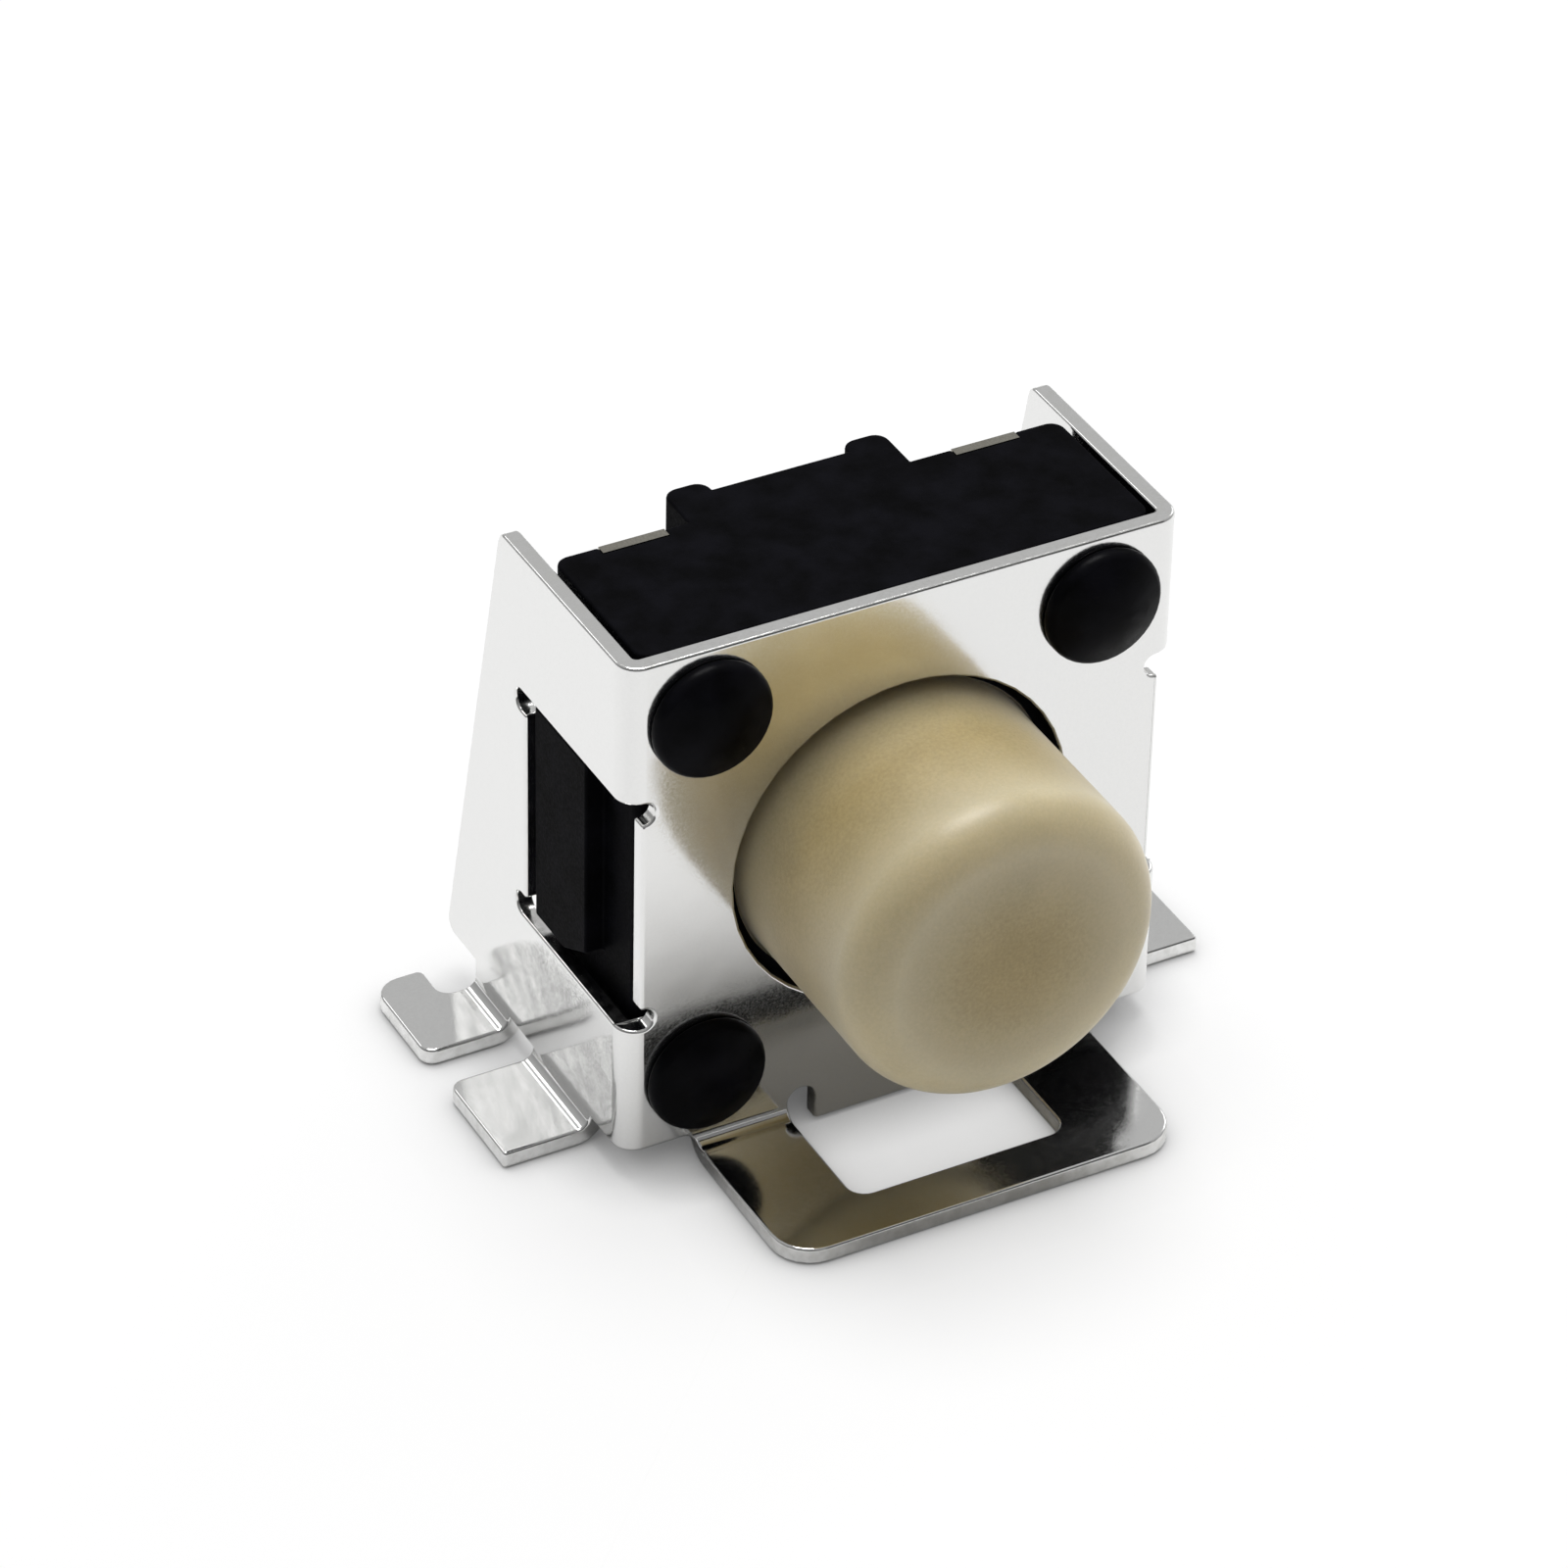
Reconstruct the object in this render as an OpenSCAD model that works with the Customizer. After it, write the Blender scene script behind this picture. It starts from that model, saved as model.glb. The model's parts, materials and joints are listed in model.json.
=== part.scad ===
// Right-angle tactile push button switch for surface mounting.
// A one-piece sheet-metal bracket carries a moulded base on four riveted pegs.
// The button slides in the base and presses a snap dome onto the contacts.
//
// Row frame: +Z up, the button faces -Y, the board lies at Z = 0.
// Every piece is drawn about the button axis, with Y = 0 on the front face of
// the bracket plate, and place() moves it into the row frame.

/* [Bracket sheet] */
// Thickness of the bracket sheet
sheet_t = 0.2; // [0.15:0.01:0.25]
// Inside radius of the upright bends beside the plate
bend_r = 0.05; // [0.02:0.01:0.1]
// Inside radius of the bends of the feet and of the loop
foot_bend_r = 0.15; // [0.1:0.01:0.2]
// Width over the two flanges
bracket_w = 6.4; // [6.2:0.05:6.8]
// Height of the front plate and of the flanges in front of the rear feet
plate_h = 6.1; // [5.9:0.05:6.4]
// Straight sheet between the lower edge of the plate and the bends below it
leg_rise = 0; // [0:0.05:0.4]
// Depth of a flange at its top edge
flange_top_d = 2.85; // [2.7:0.05:3.4]
// Depth of a flange at its bottom edge
flange_bottom_d = 4.2; // [4.1:0.05:4.8]
// How far the bottom edge of a flange is raised behind the rear foot
flange_step = 0.18; // [0.05:0.01:0.3]
// Rounding of the rear corners of a flange
flange_corner_r = 0.15; // [0.05:0.05:0.3]

/* [Flange window] */
// Height of the window
window_h = 2.86; // [2.8:0.02:3]
// How far the middle of the window lies below the button axis
window_drop = 0.05; // [0:0.01:0.06]
// Distance from the front face to the rear edge of the window
window_d = 2.25; // [2.2:0.05:2.4]
// How far the window reaches round the bend into the front plate
window_wrap = 0.2; // [0.1:0.01:0.22]
// Length of the relief notch at each rear corner of the window
notch_l = 0.24; // [0.16:0.02:0.3]
// Length of the relief notch at each front corner, in the plate
plate_notch_l = 0.16; // [0.14:0.02:0.3]
// Height of a relief notch
notch_h = 0.26; // [0.16:0.02:0.26]

/* [Feet] */
// Width over the tips of the feet
foot_span = 8.4; // [8:0.1:9]
// Distance from the front face to the front foot
front_foot_y = 0.75; // [0.6:0.05:0.9]
// Width of the front foot
front_foot_w = 1.35; // [1.1:0.05:1.4]
// Slot between the two feet
foot_slot = 0.55; // [0.45:0.05:0.7]
// Width of the rear foot at its pad
rear_foot_w = 1.35; // [1.2:0.05:1.5]
// Width of the rear foot at its neck
neck_w = 0.85; // [0.7:0.05:1]
// Length of the rear pad, outside the neck
rear_pad_l = 0.6; // [0.45:0.05:0.7]
// Rounding of the outer rear corner
foot_corner_r = 0.3; // [0.15:0.05:0.4]
// Rounding of the corners beside the slot and inside the neck
slot_corner_r = 0.16; // [0.08:0.02:0.2]
// Rounding of the inner rear corner of the rear pad
pad_corner_r = 0.08; // [0.04:0.01:0.12]
// Rounding of the outer front corner of the front foot
foot_tip_r = 0.04; // [0.02:0.01:0.1]

/* [Loop] */
// Width of the loop that is bent forward from the plate
loop_w = 4.66; // [4.4:0.05:5]
// Reach of the loop in front of the plate
loop_l = 2.1; // [1.8:0.05:2.4]
// Rounding of its two front corners
loop_corner_r = 0.45; // [0.2:0.05:0.55]
// Fillet between the loop and the lower edge of the plate
loop_fillet_r = 0.18; // [0.1:0.02:0.24]
// Width of the opening in the loop
loop_open_w = 2.5; // [2.2:0.05:2.8]
// Width of the bar in front of the opening
loop_bar_w = 0.6; // [0.4:0.05:0.7]
// Rounding of the front corners of the opening
loop_open_r = 0.2; // [0.1:0.05:0.3]
// Width of the relief slot at each end of the opening
relief_w = 0.32; // [0.24:0.02:0.4]
// Height of the relief slot above the lower edge of the plate
relief_h = 0.16; // [0.12:0.02:0.24]
// Gap between the middle tongue and the board
tongue_gap = 0.04; // [0.02:0.01:0.1]

/* [Base] */
// Gap between the moulded base and each flange
flange_gap = 0.06; // [0.05:0.01:0.15]
// Height of the moulded base
base_h = 6.08; // [5.9:0.02:6.1]
// Depth of the moulded base behind the plate
base_d = 1.95; // [1.85:0.05:2.05]
// Rounding of its four upright edges
base_edge_r = 0.16; // [0.08:0.01:0.2]
// Gap between the base and the cavity face of the plate
seat_gap = 0; // [0:0.01:0.02]
// Height of the lug that stands in the flange window
lug_h = 2.66; // [2:0.02:2.7]
// Distance from the front face of the plate to the lug
lug_front_y = 0.95; // [0.7:0.05:1.1]
// How far the face of the lug stays behind the face of the flange
lug_sunk = 0.04; // [0.02:0.01:0.08]
// How far the lug ends in front of the rear face of the base
lug_rear_gap = 0.04; // [0.02:0.01:0.08]
// Depth of the chamfer at the lower front corner of the lug
lug_chamfer_d = 0.5; // [0.2:0.05:0.6]
// Height of that chamfer
lug_chamfer_h = 0.26; // [0.1:0.02:0.4]
// Width of the boss on the rear face
boss_w = 2.58; // [2:0.02:2.7]
// How far the middle of the boss lies to the left of the button axis
boss_shift = 0.1; // [0:0.01:0.2]
// Depth of the boss
boss_d = 0.44; // [0.2:0.02:0.5]
// Width of the rib at each side of the boss
rib_w = 0.5; // [0.3:0.02:0.6]
// Depth of a rib behind the boss
rib_d = 0.18; // [0.1:0.02:0.3]
// Rounding of the outer edge of a rib
rib_r = 0.16; // [0.05:0.01:0.18]

/* [Riveted pegs] */
// Distance from the middle of a peg to the side of the base
peg_inset = 0.69; // [0.65:0.01:0.75]
// Distance from the middle of a peg to the top or the bottom of the base
peg_drop = 0.79; // [0.75:0.01:0.85]
// Diameter of a peg
peg_d = 0.9; // [0.7:0.05:1]
// Clearance around a peg in its hole
peg_clearance = 0.03; // [0.01:0.01:0.05]
// Diameter of the riveted head
head_d = 1.34; // [1.2:0.02:1.5]
// Height of the domed head
head_h = 0.34; // [0.28:0.02:0.45]
// Upright rim below the dome of the head
head_rim = 0.05; // [0.03:0.01:0.08]
// Radius between the rim and the dome of the head
head_edge_r = 0.14; // [0.08:0.01:0.18]

/* [Button] */
// Diameter of the button
button_d = 3.6; // [3.3:0.05:3.7]
// Reach of the button in front of the plate at rest
button_out = 2.45; // [1.5:0.05:3.5]
// Rounding of the front edge
button_edge_r = 0.45; // [0.1:0.05:0.6]
// Clearance around the button in the plate
button_clearance = 0.14; // [0.05:0.01:0.15]
// Diameter of the collar that holds the button in
collar_d = 4.3; // [4.2:0.05:4.4]
// Thickness of the collar
collar_t = 0.5; // [0.4:0.05:0.7]
// Gap between the collar and the plate at rest
collar_gap = 0.02; // [0.01:0.01:0.03]
// Clearance around the collar in the base
collar_clearance = 0.05; // [0.03:0.01:0.08]
// Diameter of the stem that presses the dome
stem_d = 1.2; // [0.8:0.1:1.6]

/* [Contacts] */
// Travel of the button until the dome meets the centre contact
travel = 0.25; // [0.2:0.01:0.3]
// Thickness of the snap dome
dome_t = 0.07; // [0.05:0.01:0.1]
// Diameter of the snap dome
dome_d = 3.8; // [3.6:0.05:4]
// Thickness of the terminal strip
strip_t = 0.12; // [0.1:0.01:0.15]
// Width of a terminal strip
strip_w = 0.75; // [0.6:0.05:0.8]
// Distance from a strip to the side of the base
strip_inset = 0.52; // [0.4:0.02:0.6]
// Length of the solder lead behind the base
lead_l = 1.2; // [0.8:0.05:1.5]
// Inside radius of the bend of the lead
lead_bend_r = 0.1; // [0.05:0.01:0.12]
// Width of the arm to the centre contact
arm_w = 0.6; // [0.4:0.05:0.8]
// Diameter of the centre contact
centre_d = 0.9; // [0.7:0.05:1]
// How far the contact ring reaches past the rim of the dome
ring_margin = 0.05; // [0.02:0.01:0.1]
// Width of the contact ring
ring_w = 0.4; // [0.3:0.05:0.45]
// Half of the angle that the contact ring spans
ring_half_angle = 130; // [100:5:135]

/* [Hidden] */
$fn = 64;
// Length of a cutter past the sheet that it goes through
past = 1;
// How far two shapes of one solid run into each other
lap = 0.05;
// Steps in which a rounded corner of a flat outline is drawn
corner_steps = 6;
half_w = bracket_w / 2;
half_h = plate_h / 2;
outer_bend_r = bend_r + sheet_t;
foot_outer_r = foot_bend_r + sheet_t;
// Height of the button axis above the board
axis_h = half_h + leg_rise + foot_outer_r;
// Depth of the whole switch, from the button to the rear of the flanges
mid_y = (flange_bottom_d - button_out) / 2;
// Height of the upper face of the feet and of the loop
foot_top = -axis_h + sheet_t;
// Middle of the bend of the feet and of the loop
bend_z = foot_top + foot_bend_r;
half_span = foot_span / 2;
rear_foot_y = front_foot_y + front_foot_w + foot_slot;
neck_rear_y = rear_foot_y + neck_w;
base_front = sheet_t + seat_gap;
base_rear = sheet_t + base_d;
half_base_w = half_w - sheet_t - flange_gap;
half_base_h = base_h / 2;
// Place of a peg, sideways and upwards from the button axis
peg_x = half_base_w - peg_inset;
peg_z = half_base_h - peg_drop;
// The terminal strips are flush with the rear of the base and the contacts lie
// one strip thickness in front of them, flush with the floor of the cavity
strip_front = base_rear - strip_t;
floor_y = strip_front - strip_t;
cavity_d = collar_d + 2 * collar_clearance;
hole_d = button_d + 2 * button_clearance;
dome_h = travel + dome_t;
collar_front = sheet_t + collar_gap;
collar_rear = collar_front + collar_t;
half_strip_w = strip_w / 2;
half_strips = half_base_w - strip_inset - half_strip_w;
ring_outer_r = dome_d / 2 + ring_margin;

// Moves a piece from the button axis into the row frame
module place() {
    translate([0, -mid_y, axis_h]) children();
}

// Turns the Z axis of a profile to +Y, with the profile's Y pointing up
module along_y(y0, y1) {
    translate([0, y1, 0]) rotate([90, 0, 0]) linear_extrude(y1 - y0) children();
}

// Turns a profile of (Y, Z) points so that it is extruded along X
module along_x(x0, x1) {
    translate([x0, 0, 0]) rotate([90, 0, 90]) linear_extrude(x1 - x0) children();
}

// Turns a profile of (radius, Y) points about the button axis
module about_y() {
    rotate([-90, 0, 0]) rotate_extrude() children();
}

function unit(v) = v / norm(v);
function wrap(a) = a > 180 ? a - 360 : a < -180 ? a + 360 : a;
function arc(c, r, a0, sweep) =
    [for (i = [0:corner_steps]) let (a = a0 + sweep * i / corner_steps) c + r * [cos(a), sin(a)]];
function corner(a, b, c, r) =
    let (
        u = unit(a - b),
        v = unit(c - b),
        half = acos(u * v) / 2,
        middle = b + unit(u + v) * r / sin(half),
        from = b + u * r / tan(half) - middle,
        to = b + v * r / tan(half) - middle,
        a0 = atan2(from[1], from[0])
    )
    arc(middle, r, a0, wrap(atan2(to[1], to[0]) - a0));
// Outline with a radius at each point; a radius of 0 keeps the corner sharp
function rounded(p, r) =
    let (n = len(p))
    [for (i = [0:n - 1]) each r[i] == 0 ? [p[i]] : corner(p[(i + n - 1) % n], p[i], p[(i + 1) % n], r[i])];

// Plan of the plate and the two flanges, with round bends
module round_front(half, y0, y1, r) {
    translate([-half + r, y0]) square([2 * (half - r), y1 - y0]);
    translate([-half, y0 + r]) square([2 * half, y1 - y0 - r]);
    for (side = [-1, 1]) translate([side * (half - r), y0 + r]) circle(r);
}

// Plate and flanges before the openings are cut
module channel() {
    intersection() {
        translate([0, 0, -half_h]) linear_extrude(plate_h) difference() {
            round_front(half_w, 0, flange_bottom_d + past, outer_bend_r);
            round_front(half_w - sheet_t, sheet_t, flange_bottom_d + 2 * past, bend_r);
        }
        // Side view, with the bottom edge raised behind the rear feet
        along_x(-half_w - past, half_w + past) polygon(rounded(
            [[-past, -half_h], [neck_rear_y, -half_h], [neck_rear_y, flange_step - half_h],
                [flange_bottom_d, flange_step - half_h], [flange_top_d, half_h], [-past, half_h]],
            [0, 0, 0, flange_corner_r, flange_corner_r, 0]));
    }
}

// Section of a flat leg, a quarter bend and the sheet above it. The leg runs
// towards -X and ends at reach; the sheet above stands between 0 and sheet_t.
module bent_leg(reach) {
    translate([0, bend_z]) square([sheet_t, leg_rise + lap]);
    intersection() {
        difference() {
            translate([-foot_bend_r, bend_z]) circle(foot_outer_r);
            translate([-foot_bend_r, bend_z]) circle(foot_bend_r);
        }
        translate([-foot_bend_r, bend_z - foot_outer_r]) square([foot_outer_r, foot_outer_r]);
    }
    translate([-reach, -axis_h]) square([reach - foot_bend_r, sheet_t]);
}

// The front foot and the rear foot of the left flange
module feet() {
    root = -half_w + sheet_t;
    front_end = front_foot_y + front_foot_w;
    rear_end = rear_foot_y + rear_foot_w;
    pad = -half_span + rear_pad_l;
    intersection() {
        translate([-half_w, 0, 0]) along_y(0, rear_end) bent_leg(half_span - half_w);
        // Outlines of the two feet, seen from above
        translate([0, 0, -axis_h - past]) linear_extrude(axis_h + past) union() {
            polygon(rounded(
                [[root, front_foot_y], [-half_span, front_foot_y],
                    [-half_span, front_end], [root, front_end]],
                [0, foot_tip_r, slot_corner_r, 0]));
            polygon(rounded(
                [[root, rear_foot_y], [-half_span, rear_foot_y], [-half_span, rear_end],
                    [pad, rear_end], [pad, neck_rear_y], [root, neck_rear_y]],
                [0, slot_corner_r, foot_corner_r, pad_corner_r, slot_corner_r, 0]));
        }
    }
}

// The loop in front of the plate, before its opening is cut
module loop() {
    half = loop_w / 2;
    intersection() {
        // The leg of the section points forward, to -Y
        along_x(-half - loop_fillet_r, half + loop_fillet_r) bent_leg(loop_l);
        union() {
            // Flat part, seen from above
            translate([0, 0, -axis_h - past]) linear_extrude(axis_h + past) polygon(rounded(
                [[-half, sheet_t], [-half, -loop_l], [half, -loop_l], [half, sheet_t]],
                [0, loop_corner_r, loop_corner_r, 0]));
            // Fillets to the lower edge of the plate, seen from the front
            along_y(-foot_bend_r, sheet_t) difference() {
                translate([-half - loop_fillet_r, bend_z - loop_fillet_r])
                    square([loop_w + 2 * loop_fillet_r, loop_fillet_r + past]);
                for (side = [-1, 1])
                    translate([side * (half + loop_fillet_r), bend_z - loop_fillet_r]) circle(loop_fillet_r);
            }
        }
    }
}

// Middle part of the plate that stays upright behind the opening of the loop
module tongue() {
    half = loop_open_w / 2 - relief_w;
    translate([-half, 0, -axis_h + tongue_gap])
        cube([2 * half, sheet_t, axis_h - half_h - tongue_gap + lap]);
}

// One window with its four relief notches, on the left side
module window() {
    cut = past + sheet_t + lap;
    notch_r = notch_h / 2;
    notch_z = window_h / 2 - notch_r;
    translate([-half_w - past, 0, -window_drop]) {
        // Through the flange
        translate([0, sheet_t, -window_h / 2]) cube([cut, window_d - sheet_t, window_h]);
        // Round the bend into the plate
        translate([0, -past, -window_h / 2]) cube([past + window_wrap, window_d + past, window_h]);
        for (side = [-1, 1]) {
            // Notch in the flange, with a round end
            translate([0, window_d + notch_l - notch_r, side * notch_z])
                rotate([0, 90, 0]) cylinder(h = cut, r = notch_r);
            translate([0, window_d - lap, side * notch_z - notch_r])
                cube([cut, notch_l - notch_r + lap, notch_h]);
            // Notch in the plate, with a round end
            translate([past + window_wrap + plate_notch_l - notch_r, sheet_t + lap, side * notch_z])
                rotate([90, 0, 0]) cylinder(h = cut, r = notch_r);
            translate([0, -past, side * notch_z - notch_r])
                cube([past + window_wrap + plate_notch_l - notch_r, cut, notch_h]);
        }
    }
}

// Opening of the loop with the relief slots beside the tongue
module loop_opening() {
    half = loop_open_w / 2;
    front = loop_bar_w - loop_l;
    rear = sheet_t + lap;
    translate([0, 0, -axis_h - past]) linear_extrude(axis_h + past - half_h) polygon(rounded(
        [[-half, rear], [-half, front], [half, front], [half, rear]],
        [0, loop_open_r, loop_open_r, 0]));
    for (side = [-1, 1]) {
        translate([side * (half - relief_w / 2), -past, -half_h + relief_h - relief_w / 2])
            rotate([-90, 0, 0]) cylinder(h = 2 * past, d = relief_w);
        translate([side * (half - relief_w / 2) - relief_w / 2, -past, -axis_h - past])
            cube([relief_w, 2 * past, axis_h + past - half_h + relief_h - relief_w / 2]);
    }
}

module bracket() {
    color("gainsboro") place() {
        difference() {
            union() {
                channel();
                feet();
                mirror([1, 0, 0]) feet();
                loop();
            }
            window();
            mirror([1, 0, 0]) window();
            loop_opening();
            rotate([90, 0, 0]) cylinder(h = 2 * past, d = hole_d, center = true);
            for (x = [-peg_x, peg_x], z = [-peg_z, peg_z])
                translate([x, 0, z]) rotate([90, 0, 0])
                    cylinder(h = 2 * past, d = peg_d + 2 * peg_clearance, center = true);
        }
        tongue();
    }
}

// Peg through the plate with its riveted head
module peg() {
    // The dome touches the edge radius from inside, where the two arcs meet
    edge_x = head_d / 2 - head_edge_r;
    rise = head_h - head_rim;
    dome_r = (edge_x * edge_x + rise * rise - head_edge_r * head_edge_r) / (2 * (rise - head_edge_r));
    meet_x = dome_r * edge_x / (dome_r - head_edge_r);
    about_y() {
        square([peg_d / 2, base_front + lap]);
        translate([0, -head_rim]) square([head_d / 2, head_rim]);
        intersection() {
            translate([edge_x, -head_rim]) circle(head_edge_r);
            translate([0, -head_h]) square([head_d, head_h]);
        }
        intersection() {
            translate([0, dome_r - head_h]) circle(dome_r);
            translate([0, -head_h]) square([meet_x, head_h]);
        }
    }
}

// Lug of the base in the left window
module lug() {
    face = half_w - lug_sunk;
    half = lug_h / 2;
    rear = base_rear - lug_rear_gap;
    translate([-face, 0, 0]) along_x(0, face - half_base_w + base_edge_r) polygon([
        [lug_front_y + lug_chamfer_d, -half],
        [rear, -half],
        [rear, half],
        [lug_front_y, half],
        [lug_front_y, lug_chamfer_h - half]]);
}

// Plan of the boss and its two ribs, from the rear face of the base
module boss_plan() {
    left = -boss_shift - boss_w / 2;
    translate([left, strip_front]) square([boss_w, strip_t + boss_d]);
    for (x = [left, left + boss_w - rib_w])
        translate([x, base_rear]) polygon(rounded(
            [[0, 0], [rib_w, 0], [rib_w, boss_d + rib_d], [0, boss_d + rib_d]],
            [0, 0, rib_r, rib_r]));
}

module base_block() {
    r = base_edge_r;
    translate([0, 0, -half_base_h]) linear_extrude(base_h) {
        translate([-half_base_w + r, base_front]) square([2 * (half_base_w - r), base_rear - base_front]);
        translate([-half_base_w, base_front + r]) square([2 * half_base_w, base_rear - base_front - 2 * r]);
        for (x = [-half_base_w + r, half_base_w - r], y = [base_front + r, base_rear - r])
            translate([x, y]) circle(r);
        boss_plan();
    }
}

module housing() {
    color("#17181c") place() difference() {
        union() {
            base_block();
            lug();
            mirror([1, 0, 0]) lug();
            for (x = [-peg_x, peg_x], z = [-peg_z, peg_z])
                translate([x, 0, z]) peg();
        }
        // Cavity for the collar and the dome
        translate([0, floor_y, 0]) rotate([90, 0, 0])
            cylinder(h = floor_y - base_front + past, d = cavity_d);
        left_strip();
        right_strip();
    }
}

module button() {
    r = button_d / 2;
    e = button_edge_r;
    color("#cfc8a8") place() about_y() {
        translate([0, -button_out]) square([r - e, e]);
        translate([r - e, -button_out + e]) intersection() {
            circle(e);
            translate([0, -e]) square([e, e]);
        }
        translate([0, -button_out + e]) square([r, button_out - e + collar_rear]);
        translate([0, collar_front]) square([collar_d / 2, collar_t]);
        translate([0, collar_rear]) square([stem_d / 2, floor_y - dome_h - collar_rear]);
    }
}

module contact_dome() {
    base_r = dome_d / 2;
    ball_r = (base_r * base_r + dome_h * dome_h) / (2 * dome_h);
    color("silver") place() intersection() {
        translate([0, floor_y - dome_h + ball_r, 0]) difference() {
            sphere(ball_r, $fn = 128);
            sphere(ball_r - dome_t, $fn = 128);
        }
        translate([-dome_d, floor_y - dome_h - past, -dome_d]) cube([2 * dome_d, dome_h + past, 2 * dome_d]);
    }
}

// Upright strip with the solder lead that is bent back along the board
module strip(x) {
    bottom = -axis_h + strip_t + lead_bend_r;
    outer_r = lead_bend_r + strip_t;
    along_x(x - half_strip_w, x + half_strip_w) {
        translate([strip_front, bottom]) square([strip_t, half_base_h - bottom]);
        intersection() {
            difference() {
                translate([base_rear + lead_bend_r, bottom]) circle(outer_r);
                translate([base_rear + lead_bend_r, bottom]) circle(lead_bend_r);
            }
            translate([strip_front, -axis_h]) square([outer_r, outer_r]);
        }
        translate([base_rear + lead_bend_r, -axis_h]) square([lead_l - lead_bend_r, strip_t]);
    }
}

// Left strip with an arm to the raised centre contact
module left_strip() {
    strip(-half_strips);
    translate([-half_strips, strip_front, -arm_w / 2]) cube([half_strips, strip_t, arm_w]);
    translate([0, base_rear, 0]) rotate([90, 0, 0]) cylinder(h = 2 * strip_t, d = centre_d);
}

// Right strip with the open ring that carries the rim of the dome
module right_strip() {
    strip(half_strips);
    inner_r = ring_outer_r - ring_w;
    reach = 2 * ring_outer_r;
    intersection() {
        translate([0, strip_front, 0]) rotate([90, 0, 0]) difference() {
            cylinder(h = strip_t, r = ring_outer_r);
            translate([0, 0, -past]) cylinder(h = strip_t + 2 * past, r = inner_r);
        }
        along_y(floor_y - past, strip_front + past) polygon([
            [0, 0],
            reach * [cos(ring_half_angle), -sin(ring_half_angle)],
            [0, -reach], [reach, -reach], [reach, reach], [0, reach],
            reach * [cos(ring_half_angle), sin(ring_half_angle)]]);
    }
}

module terminal_left() {
    color("#c9c3b2") place() left_strip();
}

module terminal_right() {
    color("#c9c3b2") place() right_strip();
}

bracket();
housing();
button();
contact_dome();
terminal_left();
terminal_right();
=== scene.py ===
# Looks of a right-angle tactile push button switch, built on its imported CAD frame.
import json
import math

import bmesh
import bpy
from bpy.props import FloatProperty, FloatVectorProperty, PointerProperty, StringProperty
from mathutils import Matrix, Vector
from mathutils.bvhtree import BVHTree

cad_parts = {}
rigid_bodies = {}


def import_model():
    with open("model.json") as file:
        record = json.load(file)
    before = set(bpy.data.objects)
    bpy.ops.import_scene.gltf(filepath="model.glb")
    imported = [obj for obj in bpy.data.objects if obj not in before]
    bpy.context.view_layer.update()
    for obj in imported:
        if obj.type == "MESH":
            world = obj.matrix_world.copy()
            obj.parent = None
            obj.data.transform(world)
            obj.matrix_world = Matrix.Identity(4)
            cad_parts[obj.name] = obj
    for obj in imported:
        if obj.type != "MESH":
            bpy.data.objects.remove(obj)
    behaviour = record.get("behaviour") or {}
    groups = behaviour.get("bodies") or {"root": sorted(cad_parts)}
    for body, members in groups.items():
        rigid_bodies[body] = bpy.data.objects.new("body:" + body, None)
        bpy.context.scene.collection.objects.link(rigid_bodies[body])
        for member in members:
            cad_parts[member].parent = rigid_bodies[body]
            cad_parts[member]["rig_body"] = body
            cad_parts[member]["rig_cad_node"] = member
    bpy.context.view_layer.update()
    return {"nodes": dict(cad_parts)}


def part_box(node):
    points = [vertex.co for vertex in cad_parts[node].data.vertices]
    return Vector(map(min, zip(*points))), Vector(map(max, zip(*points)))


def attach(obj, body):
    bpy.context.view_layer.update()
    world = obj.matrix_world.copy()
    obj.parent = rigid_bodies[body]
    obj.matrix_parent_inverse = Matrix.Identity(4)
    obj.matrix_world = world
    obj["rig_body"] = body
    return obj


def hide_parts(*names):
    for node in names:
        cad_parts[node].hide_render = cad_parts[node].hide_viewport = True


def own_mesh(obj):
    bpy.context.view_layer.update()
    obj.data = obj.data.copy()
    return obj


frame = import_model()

bl_info = {
    "name": "Tactile push button switch",
    "version": (1, 0, 0),
    "blender": (4, 5, 0),
    "location": "3D View > Sidebar > Switch",
    "description": "Gives the CAD solids of a tactile switch their edges, finishes and studio",
    "category": "Object",
}

MM = 0.001
BUTTON_LOW, BUTTON_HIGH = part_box("button")
# The button's axis runs along Y through the middle of its box
AXIS_Z = (BUTTON_LOW.z + BUTTON_HIGH.z) / 2
# Thickness of the bracket sheet and the two faces of its plate, in millimetres
SHEET_T = 0.2
PLATE_FRONT = -0.875
PLATE_REAR = PLATE_FRONT + SHEET_T

# Corners of a CAD mesh closer than this are merged, in millimetres
MERGE_DISTANCE = 0.0005
# Faces of a CAD mesh that meet at less than this are joined
MERGE_ANGLE = math.radians(0.6)
# Play with which faces are picked by a place or a length, in millimetres
PICK_PLAY = 0.001
# Sides of the button and the lip
ROUND_SIDES = 128
# Rings of the domed front of the button, and steps of the rounded edge round it
CROWN_RINGS = 10
EDGE_STEPS = 12
# Steps of the small rounded edges
BEVEL_STEPS = 3
# Angles in degrees from which an edge is rounded, on most pieces and on the base
SHARP_ANGLE = 35.0
BASE_SHARP_ANGLE = 50.0
# Angle in degrees from which an edge is shaded as sharp
SHADING_ANGLE = 40.0
# A face looks along an axis where its normal has at least this share in it
FACING_SHARE = 0.9
# A corner of a rounded edge farther from the piece than this share of the radius is brought back
STRAY_SHARE = 0.8
# Least corner angle that counts towards a shared normal, in radians
LEAST_CORNER = 0.01
# Least length that a grain or a wave can be set to
LEAST_SIZE = 0.001 * MM

# Size of the floor in metres, and how far it lies below the switch, so they don't share a plane
FLOOR_SIZE = 1.2
FLOOR_DROP = 0.01 * MM
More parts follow.
